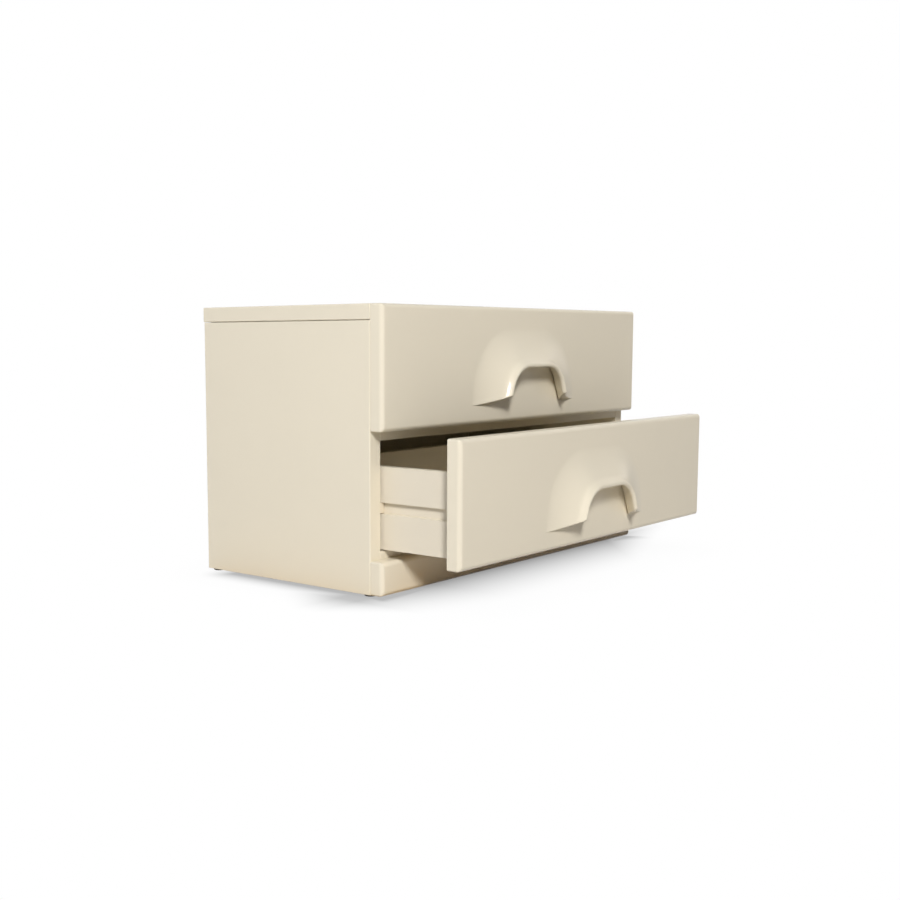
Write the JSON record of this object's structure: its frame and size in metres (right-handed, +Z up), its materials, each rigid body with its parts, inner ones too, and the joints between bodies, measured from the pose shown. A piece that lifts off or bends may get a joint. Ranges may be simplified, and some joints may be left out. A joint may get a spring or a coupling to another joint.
{
  "type": "chest of drawers",
  "caption": "Low lacquered chest whose overlay drawers slide on grooved sides and open by moulded hood handles.",
  "frame": {"origin": "middle of the bounding box on the ground plane, under the chest with its lower drawer open as at rest", "axes": "+X to the right as seen from the front, -Y out of the front, the way the drawers open, +Z up"},
  "size_m": [0.8, 0.583, 0.46],
  "materials": {
    "lacquer": "cream semi-gloss lacquer",
    "drawer_box": "cream satin lacquer, a little warmer than the fronts",
    "back_board": "cream matt paint",
    "runner": "pale hardwood, waxed",
    "glide": "dark matt"
  },
  "bodies": {
    "carcass": {"top_panel": "lacquer", "left_side_panel": "lacquer", "right_side_panel": "lacquer", "bottom_panel": "lacquer", "divider_rail": "lacquer", "back_panel": "back_board", "plinth_board": "lacquer", "glides": "glide", "lower_left_runner": "runner", "lower_right_runner": "runner", "upper_left_runner": "runner", "upper_right_runner": "runner"},
    "lower_drawer": {"lower_front": "lacquer", "lower_handle": "lacquer", "lower_box_front": "drawer_box", "lower_left_side": "drawer_box", "lower_right_side": "drawer_box", "lower_box_back": "drawer_box", "lower_floor": "drawer_box"},
    "upper_drawer": {"upper_front": "lacquer", "upper_handle": "lacquer", "upper_box_front": "drawer_box", "upper_left_side": "drawer_box", "upper_right_side": "drawer_box", "upper_box_back": "drawer_box", "upper_floor": "drawer_box"}
  },
  "joints": [
    {"name": "lower_drawer_slide", "type": "slide", "parent": "carcass", "child": "lower_drawer", "axis": [0, -1, 0], "range_m": [-0.1486, 0.111]},
    {"name": "upper_drawer_slide", "type": "slide", "parent": "carcass", "child": "upper_drawer", "axis": [0, -1, 0], "range_m": [0, 0.2596]}
  ]
}
